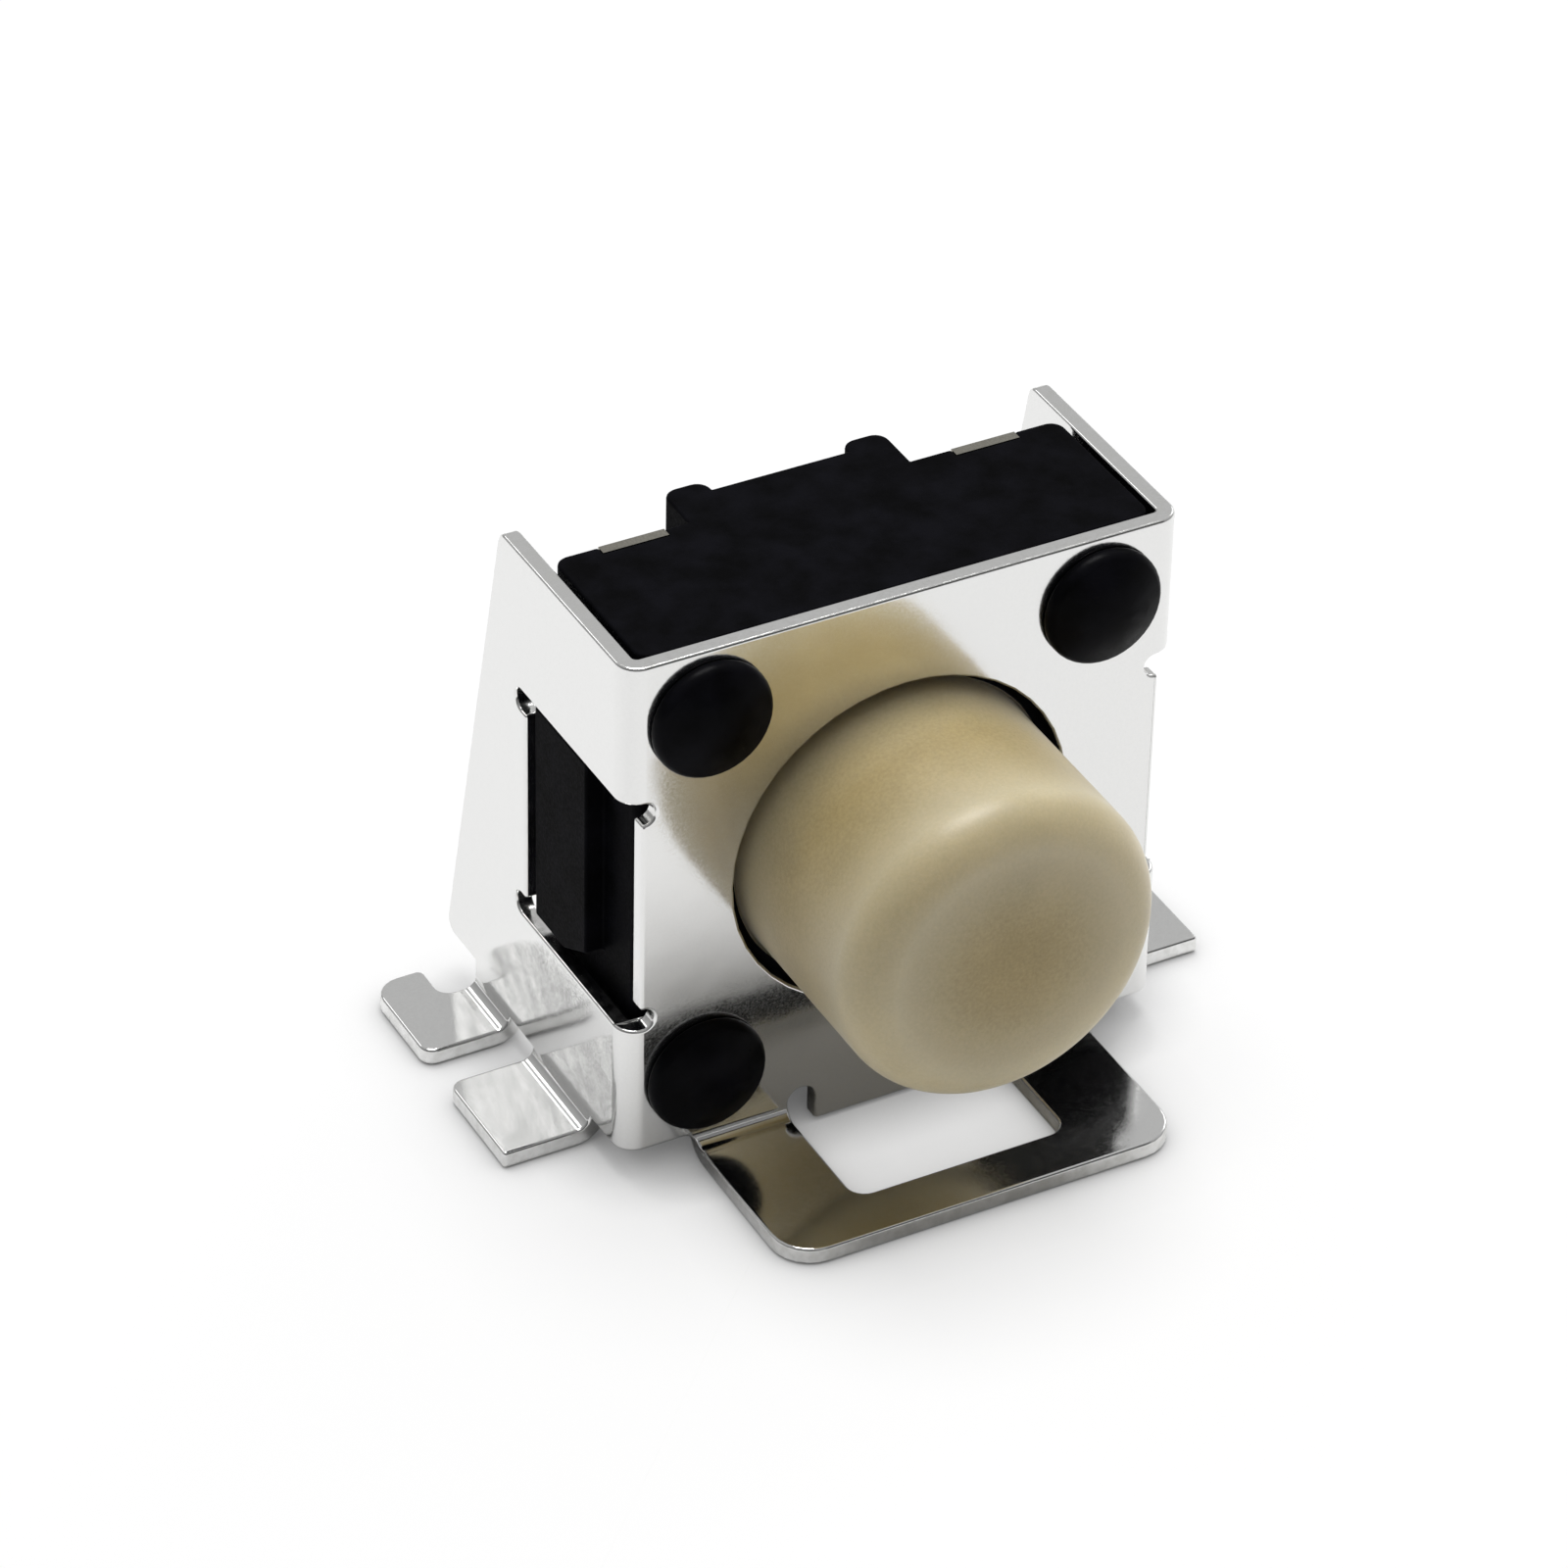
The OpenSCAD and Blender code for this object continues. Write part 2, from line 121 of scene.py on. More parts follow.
# The dark card that the metal mirrors, in metres, and the side from which the soft light comes
CARD_SIZE = 0.05
CARD_DISTANCE = 0.13
CARD_DIRECTION = Vector((0.39, -0.711, 0.585)).normalized()
LIGHT_DIRECTION = Vector((0.5, 0.65, 0.6)).normalized()
# Name, place and diameter of each lamp in metres, and the setting that holds its power
LAMPS = (("key_lamp", (0.02, 0.05, 0.26), 0.14, "key_power"),
         ("right_lamp", (0.16, 0.09, 0.10), 0.10, "side_power"),
         ("back_lamp", (-0.048, 0.154, 0.133), 0.05, "back_power"))
# Width of the camera's frame in millimetres, and the nearest and farthest it sees in metres
SENSOR_WIDTH = 36.0
CLIP_START, CLIP_END = 0.001, 10.0
WHITE = (1.0, 1.0, 1.0, 1.0)


# ---------------------------------------------------------------- settings

class SheetSettings(bpy.types.PropertyGroup):
    edge_radius: FloatProperty(
        name="Edge radius", description="Rolled edge that the press tool leaves on the sheet",
        default=0.035 * MM, min=0.0, unit="LENGTH")
    tin_colour: StringProperty(
        name="Tin", description="sRGB colour of the bright tin plating", default="#E9E9E8")
    tin_shade: StringProperty(
        name="Tin, dimmer spots", description="sRGB colour of the dimmer spots of the plating",
        default="#E5E5E4")
    cut_colour: StringProperty(
        name="Cut edge", description="sRGB colour of the torn spots of the cut edges",
        default="#DBDBD9")
    tin_roughness: FloatProperty(
        name="Tin roughness", description="Roughness of the bright tin plating", default=0.11,
        min=0.0, max=1.0, subtype="FACTOR")
    ripple_size: FloatProperty(
        name="Ripple size", description="Distance between the slow waves of the rolled sheet",
        default=0.9 * MM, min=LEAST_SIZE, unit="LENGTH")
    grain_size: FloatProperty(
        name="Grain size", description="Grain of the plating", default=0.03 * MM,
        min=LEAST_SIZE, unit="LENGTH")
    score_size: FloatProperty(
        name="Score size", description="Distance between the scores of the cut edges",
        default=0.03 * MM, min=LEAST_SIZE, unit="LENGTH")
    tear_size: FloatProperty(
        name="Tear size", description="Length of the tears of the cut edges", default=0.15 * MM,
        min=LEAST_SIZE, unit="LENGTH")


class MouldingSettings(bpy.types.PropertyGroup):
    edge_radius: FloatProperty(
        name="Edge radius", description="Radius that the mould leaves on the sharp edges of the base",
        default=0.03 * MM, min=0.0, unit="LENGTH")
    black_colour: StringProperty(
        name="Black moulding", description="sRGB colour of the black base", default="#0E0E12")
    black_shade: StringProperty(
        name="Black, darker spots", description="sRGB colour of the darker spots of the base",
        default="#060607")
    grain_size: FloatProperty(
        name="Grain size", description="Grain of the eroded mould on the base", default=0.035 * MM,
        min=LEAST_SIZE, unit="LENGTH")
    spot_size: FloatProperty(
        name="Spot size", description="Distance between the darker spots of the base",
        default=0.5 * MM, min=LEAST_SIZE, unit="LENGTH")
    lip_bore: FloatProperty(
        name="Lip bore", description="Bore of the lip round the button", default=3.68 * MM,
        min=LEAST_SIZE, unit="LENGTH")
    lip_diameter: FloatProperty(
        name="Lip diameter", description="Outer diameter of the lip", default=4.3 * MM, unit="LENGTH")
    lip_thickness: FloatProperty(
        name="Lip thickness", description="Thickness of the lip behind the plate", default=0.05 * MM,
        unit="LENGTH")


class ButtonSettings(bpy.types.PropertyGroup):
    diameter: FloatProperty(
        name="Diameter", description="Diameter of the button in front of its collar",
        default=3.6 * MM, min=0.0, unit="LENGTH")
    crown_radius: FloatProperty(
        name="Crown radius", description="Radius of the slightly domed front", default=14.0 * MM,
        min=2.0 * MM, unit="LENGTH")
    edge_radius: FloatProperty(
        name="Edge radius", description="Rounding between the front and the side", default=0.5 * MM,
        min=0.0, unit="LENGTH")
    collar_front: FloatProperty(
        name="Collar", description="Distance from the front of the button to its collar",
        default=2.73 * MM, min=0.0, unit="LENGTH")
    collar_thickness: FloatProperty(
        name="Collar thickness", description="Thickness of the collar behind the plate",
        default=0.44 * MM, min=0.0, unit="LENGTH")
    stem_diameter: FloatProperty(
        name="Stem diameter", description="Diameter of the stem that presses the dome",
        default=1.2 * MM, min=0.0, unit="LENGTH")
    ivory_colour: StringProperty(
        name="Ivory moulding", description="sRGB colour of the button", default="#AA9766")
    ivory_shade: StringProperty(
        name="Ivory, darker specks", description="sRGB colour of the specks in the button",
        default="#968452")
    # The paler colour of the thin corners is a painted glow, not the plastic's own colour
    painted_glow_colour: StringProperty(
        name="Ivory at thin corners", description="sRGB colour of the button at its thin corners",
        default="#D2CCB6")
    # Depth that sets how far the painted glow of the thin corners reaches
    painted_glow_depth: FloatProperty(
        name="Thin depth", description="Depth of plastic below which a corner looks paler",
        default=1.6 * MM, min=0.0, unit="LENGTH")
    light_depth: FloatProperty(
        name="Light depth", description="How far light spreads inside the button",
        default=1.0 * MM, min=0.0, unit="LENGTH")
    speck_size: FloatProperty(
        name="Speck size", description="Distance between the fine specks of the skin",
        default=0.04 * MM, min=LEAST_SIZE, unit="LENGTH")
    cloud_size: FloatProperty(
        name="Cloud size", description="Distance between the soft clouds in the colour",
        default=0.7 * MM, min=LEAST_SIZE, unit="LENGTH")


class ContactSettings(bpy.types.PropertyGroup):
    silver_colour: StringProperty(
        name="Silver plating", description="sRGB colour of the terminal strips", default="#A09D93")
    steel_colour: StringProperty(
        name="Spring steel", description="sRGB colour of the snap dome", default="#B9B8B5")
    line_size: FloatProperty(
        name="Line size", description="Distance between the rolling lines of the strips",
        default=0.02 * MM, min=LEAST_SIZE, unit="LENGTH")
    dome_keep: FloatProperty(
        name="Pressed dome", description="Share of its height that the dome keeps when pressed",
        default=0.2, min=0.01, max=1.0, subtype="FACTOR")


class StageSettings(bpy.types.PropertyGroup):
    target: FloatVectorProperty(
        name="Target", description="Point that the camera looks at",
        default=(-0.91851 * MM, -0.01652 * MM, 3.83058 * MM), subtype="TRANSLATION", unit="LENGTH")
    azimuth: FloatProperty(
        name="Azimuth", description="Direction of the camera round the object, 0 from the front",
        default=math.radians(-28.7472), subtype="ANGLE")
    elevation: FloatProperty(
        name="Elevation", description="Height of the camera above the horizon",
        default=math.radians(35.8331), subtype="ANGLE")
    roll: FloatProperty(
        name="Roll", description="Turn of the camera about its own line of sight",
        default=math.radians(1.3209), subtype="ANGLE")
    distance: FloatProperty(
        name="Distance", description="Distance from the camera to its target",
        default=71.351 * MM, unit="LENGTH")
    lens: FloatProperty(
        name="Focal length", description="Focal length on a 36 mm wide frame, in millimetres",
        default=159.093)
    paper_colour: StringProperty(
        name="Floor paper", description="sRGB colour of the floor as the switch is lit by it",
        default="#E5E5E5")
    floor_colour: StringProperty(
        name="Floor", description="sRGB colour of the floor as the camera sees it, without its glow",
        default="#8C8C8C")
    floor_glow: FloatProperty(
        name="Floor glow", description="White added to the floor where the camera sees it",
        default=0.68)
    # The deeper shadow right under the metal is painted shade that dims the floor's glow
    shadow_reach: FloatProperty(
        name="Shadow reach", description="Reach of the deeper shadow right under the metal",
        default=0.8 * MM, min=0.0, unit="LENGTH")
    card_colour: StringProperty(
        name="Card", description="sRGB colour of the dark card", default="#0C0C0B")
    world_low: FloatProperty(
        name="World in front", description="Level of the soft light from the camera's side",
        default=0.04)
    world_high: FloatProperty(
        name="World behind", description="Level of the soft light from behind and above",
        default=0.54)
    key_power: FloatProperty(
        name="Key power", description="Power of the large lamp above, in watts", default=0.64)
    side_power: FloatProperty(
        name="Side power", description="Power of the lamp at the right, in watts", default=0.04)
    back_power: FloatProperty(
        name="Back power", description="Power of the small lamp behind, in watts", default=0.012)


class SwitchSettings(bpy.types.PropertyGroup):
    sheet: PointerProperty(type=SheetSettings)
    moulding: PointerProperty(type=MouldingSettings)
    button: PointerProperty(type=ButtonSettings)
    contacts: PointerProperty(type=ContactSettings)
    stage: PointerProperty(type=StageSettings)


def settings():
    """The settings of the scene, in one group per part."""
    return bpy.context.scene.switch_settings


# ---------------------------------------------------------------- helpers

def linear(text):
    """Linear RGBA of an sRGB hex colour."""
    channels = [int(text[i:i + 2], 16) / 255 for i in (1, 3, 5)]
    return [c / 12.92 if c <= 0.04045 else ((c + 0.055) / 1.055) ** 2.4 for c in channels] + [1.0]


def add_node(tree, kind, values=None, links=None, **fields):
    """Adds a node, sets its fields and socket values, and links its inputs to other sockets."""
    node = tree.nodes.new(kind)
    for name, value in fields.items():
        setattr(node, name, value)
    for name, value in (values or {}).items():
        node.inputs[name].default_value = value
    for name, socket in (links or {}).items():
        tree.links.new(socket, node.inputs[name])
    return node


def new_material(name):
    """An empty node material, its tree and its output node."""
    material = bpy.data.materials.new(name)
    material.use_nodes = True
    tree = material.node_tree
    tree.nodes.clear()
    return material, tree, add_node(tree, "ShaderNodeOutputMaterial")


def ramp(tree, fac, stops):
    """Colour of a ramp between two stops, each a position and a colour."""
    node = add_node(tree, "ShaderNodeValToRGB", links={"Fac": fac})
    for element, (position, colour) in zip(node.color_ramp.elements, stops):
        element.position, element.color = position, colour
    return node.outputs["Color"]


def noise(tree, place, size, detail, roughness):
    """Noise with about one wave in each length of the given size."""
    node = add_node(tree, "ShaderNodeTexNoise",
                    {"Scale": 1 / size, "Detail": detail, "Roughness": roughness}, {"Vector": place})
    return node.outputs["Fac"]


def map_range(tree, value, source, target):
    """The value, carried from the source range over to the target range."""
    node = add_node(tree, "ShaderNodeMapRange",
                    {"From Min": source[0], "From Max": source[1], "To Min": target[0],
                     "To Max": target[1]}, {"Value": value})
    return node.outputs["Result"]


def bump(tree, height, strength, depth, normal=None):
    """Normal of a surface with the height on it, on top of another normal if one is given."""
    links = {"Height": height, "Normal": normal} if normal else {"Height": height}
    node = add_node(tree, "ShaderNodeBump", {"Strength": strength, "Distance": depth}, links)
    return node.outputs["Normal"]


def surface(tree, output, values, links):
    """Puts a Principled shader on the material's output."""
    shader = add_node(tree, "ShaderNodeBsdfPrincipled", values, links)
    tree.links.new(shader.outputs["BSDF"], output.inputs["Surface"])


def deselect_all():
    """Leaves edit mode and selects nothing."""
    if bpy.context.object and bpy.context.object.mode != "OBJECT":
        bpy.ops.object.mode_set(mode="OBJECT")
    bpy.ops.object.select_all(action="DESELECT")


def make_active(piece):
    """Selects the piece alone."""
    deselect_all()
    piece.select_set(True)
    bpy.context.view_layer.objects.active = piece


def scale_mesh(piece, factor):
    """Scales the mesh about the origin in edit mode and leaves the object unscaled."""
    make_active(piece)
    bpy.ops.object.mode_set(mode="EDIT")
    bpy.ops.mesh.select_all(action="SELECT")
    bpy.ops.transform.resize(value=(factor,) * 3, center_override=(0.0, 0.0, 0.0))
    bpy.ops.object.mode_set(mode="OBJECT")


def select_faces(piece, wanted):
    """In edit mode, selects the faces whose centre and normal pass the test."""
    mesh = bmesh.from_edit_mesh(piece.data)
    bpy.ops.mesh.select_mode(type="FACE")
    bpy.ops.mesh.select_all(action="DESELECT")
    for face in mesh.faces:
        face.select_set(wanted(face.calc_center_median(), face.normal))
    mesh.select_flush_mode()
    bmesh.update_edit_mesh(piece.data)


def copy_of_node(node, name, *materials):
    """A merged copy of a CAD node, drawn in millimetres until finish_piece brings it back."""
    make_active(frame["nodes"][node])
    bpy.ops.object.duplicate()
    piece = bpy.context.object
    piece.name = piece.data.name = name
    # The copy is no CAD node, so it drops the tags of one
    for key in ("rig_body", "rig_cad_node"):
        del piece[key]
    piece.parent = None
    piece.data.materials.clear()
    for material in materials:
        piece.data.materials.append(material)
    scale_mesh(piece, 1 / MM)
    bpy.ops.object.mode_set(mode="EDIT")
    bpy.ops.mesh.select_all(action="SELECT")
    bpy.ops.mesh.remove_doubles(threshold=MERGE_DISTANCE)
    bpy.ops.mesh.dissolve_limited(angle_limit=MERGE_ANGLE)
    bpy.ops.object.mode_set(mode="OBJECT")
    return piece


def paint_faces(piece, wanted):
    """Gives the second material of the piece to the faces that pass the test."""
    for face in piece.data.polygons:
        if wanted(piece.data, face):
            face.material_index = 1


def is_cut_edge(mesh, face):
    """A face of the cut through the sheet has a side as long as the sheet is thick."""
    corners = [mesh.vertices[i].co for i in face.vertices]
    sides = zip(corners, corners[1:] + corners[:1])
    return any(abs((a - b).length - SHEET_T) < 2 * PICK_PLAY for a, b in sides)


def round_edges(piece, radius, angle=SHARP_ANGLE):
    """Rounds the edges sharper than the angle, in degrees. The radius is in millimetres."""
    make_active(piece)
    before = BVHTree.FromPolygons([vertex.co.copy() for vertex in piece.data.vertices],
                                  [list(face.vertices) for face in piece.data.polygons])
    bevel = piece.modifiers.new("Rolled edges", "BEVEL")
    bevel.width = radius
    bevel.segments = BEVEL_STEPS
    bevel.limit_method = "ANGLE"
    bevel.angle_limit = math.radians(angle)
    bevel.use_clamp_overlap = False
    bevel.loop_slide = False
    bpy.ops.object.modifier_apply(modifier=bevel.name)
    # Where two edges run into each other, a corner can leave the piece and is brought back
    for vertex in piece.data.vertices:
        place, _, _, away = before.find_nearest(vertex.co)
        if away > STRAY_SHARE * radius:
            vertex.co = place


def keep_flats(piece):
    """Lets the largest face at each corner set the normal, so flat faces mirror as flat.

    The faces count by the square of their area, so a large face outweighs the narrow ones of a
    rounded edge beside it.
    """
    work = bmesh.new()
    work.from_mesh(piece.data)
    work.faces.ensure_lookup_table()
    weights = [(face.calc_area() / MM ** 2) ** 2 for face in work.faces]
    normals = [Vector((0.0, 0.0, 1.0))] * sum(len(face.loops) for face in work.faces)
    for vertex in work.verts:
        rest = set(vertex.link_loops)
        while rest:
            # The corners that are joined over smooth edges share one normal
            fan, queue = [], [rest.pop()]
            while queue:
                loop = queue.pop()
                fan.append(loop)
                for edge in (loop.edge, loop.link_loop_prev.edge):
                    if edge.smooth:
                        for other in [o for o in rest if edge in (o.edge, o.link_loop_prev.edge)]:
                            rest.discard(other)
                            queue.append(other)
            shared = Vector((0.0, 0.0, 0.0))
            for loop in fan:
                corner = max(loop.calc_angle(), LEAST_CORNER)
                shared += loop.face.normal * weights[loop.face.index] * corner
            shared.normalize()
            for loop in fan:
                normals[loop.index] = shared if shared.length else loop.face.normal
    work.free()
    piece.data.normals_split_custom_set([tuple(normal) for normal in normals])


def finish_piece(piece, body):
    """Brings the mesh back to metres, smooths it and hangs it on its body."""
    make_active(piece)
    bpy.ops.object.shade_smooth_by_angle(angle=math.radians(SHADING_ANGLE))
    scale_mesh(piece, MM)
    keep_flats(piece)
    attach(piece, body)


# ---------------------------------------------------------------- finishes

def bright_tin():
    """Bright tin plated steel sheet, pressed: mirror-like with a slight haze and slow ripples."""
    s = settings().sheet
    material, tree, output = new_material("bright_tin_plated_steel")
    place = add_node(tree, "ShaderNodeTexCoord").outputs["Object"]
    ripple = noise(tree, place, s.ripple_size, detail=2.0, roughness=0.5)
    grain = noise(tree, place, s.grain_size, detail=4.0, roughness=0.6)
    tint = ramp(tree, grain, [(0.3, linear(s.tin_shade)), (0.65, linear(s.tin_colour))])
    haze = map_range(tree, grain, (0.35, 0.7), (s.tin_roughness * 0.8, s.tin_roughness * 1.6))
    slow = bump(tree, ripple, strength=0.4, depth=0.014 * MM)
    fine = bump(tree, grain, strength=0.06, depth=0.003 * MM, normal=slow)
    surface(tree, output, {"Metallic": 1.0}, {"Base Color": tint, "Roughness": haze, "Normal": fine})
    return material


def cut_edge():
    """Edge of the sheet as the press tool cut it: smeared, with fine scores and dull tears."""
    s = settings().sheet
    material, tree, output = new_material("cut_steel_edge")
    place = add_node(tree, "ShaderNodeTexCoord").outputs["Object"]
    scores = noise(tree, place, s.score_size, detail=3.0, roughness=0.6)
    tears = noise(tree, place, s.tear_size, detail=2.0, roughness=0.6)
    tint = ramp(tree, tears, [(0.35, linear(s.cut_colour)), (0.6, linear(s.tin_colour))])
    haze = map_range(tree, tears, (0.35, 0.65), (0.24, 0.12))
    relief = bump(tree, scores, strength=0.15, depth=0.001 * MM)
    surface(tree, output, {"Metallic": 1.0},
            {"Base Color": tint, "Roughness": haze, "Normal": relief})
    return material


def black_moulding(name, roughness, gloss, grain_depth):
    """Black glass-filled thermoplastic as it leaves an eroded mould: matte with a fine grain."""
    s = settings().moulding
    material, tree, output = new_material(name)
    place = add_node(tree, "ShaderNodeTexCoord").outputs["Object"]
    grain = noise(tree, place, s.grain_size, detail=3.0, roughness=0.65)
    spots = noise(tree, place, s.spot_size, detail=3.0, roughness=0.6)
    shade = ramp(tree, spots, [(0.35, linear(s.black_shade)), (0.65, linear(s.black_colour))])
    haze = map_range(tree, grain, (0.3, 0.7), (roughness * 0.9, min(1.0, roughness * 1.25)))
    relief = bump(tree, grain, strength=0.5, depth=grain_depth)
    surface(tree, output, {"IOR": 1.5, "Specular IOR Level": gloss},
            {"Base Color": shade, "Roughness": haze, "Normal": relief})
    return material


def ivory_moulding():
    """Ivory thermoplastic: light spreads inside it, under a satin moulded skin with fine specks, and
    a paler colour on its thin corners is a painted glow.
    """
    s = settings().button
    material, tree, output = new_material("ivory_moulded_plastic")
    place = add_node(tree, "ShaderNodeTexCoord").outputs["Object"]
    specks = noise(tree, place, s.speck_size, detail=3.0, roughness=0.6)
    cloud = noise(tree, place, s.cloud_size, detail=2.0, roughness=0.5)
    both = add_node(tree, "ShaderNodeMix", {"Factor": 0.4}, {"A": specks, "B": cloud},
                    data_type="FLOAT")
    shade = ramp(tree, both.outputs["Result"],
                 [(0.35, linear(s.ivory_shade)), (0.62, linear(s.ivory_colour))])
    # Painted glow: the thin corners get a paler colour than the solid middle, painted light that
    # stands in for light passing through them
    solid = add_node(tree, "ShaderNodeAmbientOcclusion", {"Distance": s.painted_glow_depth},
                     inside=True, samples=8)
    painted_glow_mask = map_range(tree, solid.outputs["AO"], (0.35, 0.92), (1.0, 0.0))
    tint = add_node(tree, "ShaderNodeMix", {"B": linear(s.painted_glow_colour)}, {"Factor": painted_glow_mask, "A": shade},
                    data_type="RGBA")
    relief = bump(tree, specks, strength=0.35, depth=0.004 * MM)
    surface(tree, output,
            {"IOR": 1.5, "Roughness": 0.42, "Sheen Weight": 0.3, "Sheen Roughness": 0.4,
             "Subsurface Weight": 1.0, "Subsurface Radius": (1.0, 0.95, 0.85),
             "Subsurface Scale": s.light_depth},
            {"Base Color": tint.outputs["Result"], "Normal": relief})
    return material


def plated_strip(name, colour, roughness):
    """Rolled and plated contact strip: soft metal with faint rolling lines that run upwards."""
    s = settings().contacts
    material, tree, output = new_material(name)
    place = add_node(tree, "ShaderNodeTexCoord").outputs["Object"]
    stretched = add_node(tree, "ShaderNodeMapping", {"Scale": (1.0, 1.0, 0.06)}, {"Vector": place})
    lines = noise(tree, stretched.outputs["Vector"], s.line_size, detail=3.0, roughness=0.5)
    bright = linear(colour)
    dull = [channel * 0.8 for channel in bright[:3]] + [1.0]
    shade = ramp(tree, lines, [(0.3, dull), (0.7, bright)])
    haze = map_range(tree, lines, (0.0, 1.0), (roughness * 0.8, roughness * 1.3))
    relief = bump(tree, lines, strength=0.2, depth=0.002 * MM)
    surface(tree, output, {"Metallic": 1.0},
            {"Base Color": shade, "Roughness": haze, "Normal": relief})
    return material


# ---------------------------------------------------------------- operators

class SWITCH_OT_bracket(bpy.types.Operator):
    """Dress the pressed bracket: rolled edges and bright tin"""
    bl_idname = "switch.bracket"
    bl_label = "Bracket"

    def execute(self, context):
        piece = copy_of_node("bracket", "bracket_sheet", bright_tin(), cut_edge())
        paint_faces(piece, is_cut_edge)
        round_edges(piece, settings().sheet.edge_radius / MM)
        finish_piece(piece, "base")
        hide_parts("bracket")
        return {"FINISHED"}


class SWITCH_OT_base(bpy.types.Operator):
    """Dress the moulded base and its riveted pegs"""
    bl_idname = "switch.base"
    bl_label = "Base"

    def execute(self, context):
        matte = black_moulding("black_moulded_plastic", roughness=0.5, gloss=0.012,
                               grain_depth=0.006 * MM)
        riveted = black_moulding("black_riveted_plastic", roughness=0.3, gloss=0.03,
                                 grain_depth=0.001 * MM)
        piece = copy_of_node("housing", "moulded_base", matte, riveted)
        # The riveted heads are what lies in front of the plate
        paint_faces(piece, lambda mesh, face: face.center.y < PLATE_FRONT - PICK_PLAY)
        round_edges(piece, settings().moulding.edge_radius / MM, angle=BASE_SHARP_ANGLE)
        finish_piece(piece, "base")
        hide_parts("housing")
        return {"FINISHED"}


class SWITCH_OT_guide_lip(bpy.types.Operator):
    """Model the thin black lip behind the plate that closes the gap round the button"""
    bl_idname = "switch.guide_lip"
    bl_label = "Guide lip"

    def execute(self, context):
        s = settings().moulding
        centre = (0.0, PLATE_REAR + s.lip_thickness / MM, AXIS_Z / MM)
        deselect_all()
        bpy.ops.mesh.primitive_circle_add(
            vertices=ROUND_SIDES, radius=s.lip_bore / 2 / MM, location=centre,
            rotation=(math.radians(90.0), 0.0, 0.0))
        piece = bpy.context.object
        piece.name = piece.data.name = "guide_lip"
        bpy.ops.object.transform_apply()
        bpy.ops.object.mode_set(mode="EDIT")
        bpy.ops.mesh.select_all(action="SELECT")
        wide = s.lip_diameter / s.lip_bore
        bpy.ops.mesh.extrude_edges_move()
        bpy.ops.transform.resize(value=(wide, 1.0, wide), center_override=centre)
        bpy.ops.mesh.select_all(action="SELECT")
        bpy.ops.mesh.extrude_region_move(
            TRANSFORM_OT_translate={"value": (0.0, -s.lip_thickness / MM, 0.0)})
        bpy.ops.mesh.select_all(action="SELECT")
        bpy.ops.mesh.normals_make_consistent(inside=False)
        bpy.ops.object.mode_set(mode="OBJECT")
        piece.data.materials.append(black_moulding(
            "black_lip_plastic", roughness=0.6, gloss=0.01, grain_depth=0.005 * MM))
        finish_piece(piece, "base")
        return {"FINISHED"}


class SWITCH_OT_button(bpy.types.Operator):
    """Model the ivory button with its rounded front edge, its collar and its stem"""
    bl_idname = "switch.button"
    bl_label = "Button"

    def execute(self, context):
        s = settings().button
        radius, edge, crown = s.diameter / 2 / MM, s.edge_radius / MM, s.crown_radius / MM
        axis, rear = AXIS_Z / MM, BUTTON_HIGH.y / MM
        collar_front = (BUTTON_LOW.y + s.collar_front) / MM
        collar_rear = collar_front + s.collar_thickness / MM
        # Heights of the dome over the centre of its sphere, ring by ring from the middle out
        ring_width = (radius - edge) / CROWN_RINGS
        heights = [math.sqrt(crown ** 2 - (ring * ring_width) ** 2)
                   for ring in range(CROWN_RINGS + 1)]
        # The dome rises from here, and its middle reaches the front of the CAD solid
        front = BUTTON_LOW.y / MM + heights[1] - heights[-1]
        deselect_all()
        bpy.ops.mesh.primitive_cylinder_add(
            vertices=ROUND_SIDES, radius=radius, depth=collar_front - front,
            location=(0.0, (front + collar_front) / 2, axis),
            rotation=(math.radians(90.0), 0.0, 0.0))
        piece = bpy.context.object
        piece.name = piece.data.name = "ivory_button"
        bpy.ops.object.transform_apply()
        bpy.ops.object.mode_set(mode="EDIT")
        # The front edge is rounded, and the face inside it is domed ring by ring
        select_faces(piece, lambda centre, normal: normal.y < -FACING_SHARE)
        bpy.ops.mesh.bevel(offset=edge, segments=EDGE_STEPS, affect="EDGES")
        select_faces(piece, lambda centre, normal: centre.y < front + PICK_PLAY)
        for ring in range(CROWN_RINGS - 1, 0, -1):
            bpy.ops.mesh.inset(thickness=ring_width, depth=heights[ring] - heights[ring + 1])
        # The rear face is widened and drawn back as the collar, then narrowed for the stem
        select_faces(piece, lambda centre, normal: normal.y > FACING_SHARE)
        place = collar_front
        for wide, end in ((BUTTON_HIGH.x / MM, collar_rear), (s.stem_diameter / 2 / MM, rear)):
            bpy.ops.mesh.extrude_region_move()
            bpy.ops.transform.resize(value=(wide / radius, 1.0, wide / radius),
                                     center_override=(0.0, place, axis))
            bpy.ops.mesh.extrude_region_move(
                TRANSFORM_OT_translate={"value": (0.0, end - place, 0.0)})
            radius, place = wide, end
        bpy.ops.mesh.select_all(action="SELECT")
        bpy.ops.mesh.normals_make_consistent(inside=False)
        bpy.ops.object.mode_set(mode="OBJECT")
        piece.data.materials.append(ivory_moulding())
        round_edges(piece, settings().moulding.edge_radius / MM)
        finish_piece(piece, "plunger")
        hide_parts("button")
        return {"FINISHED"}


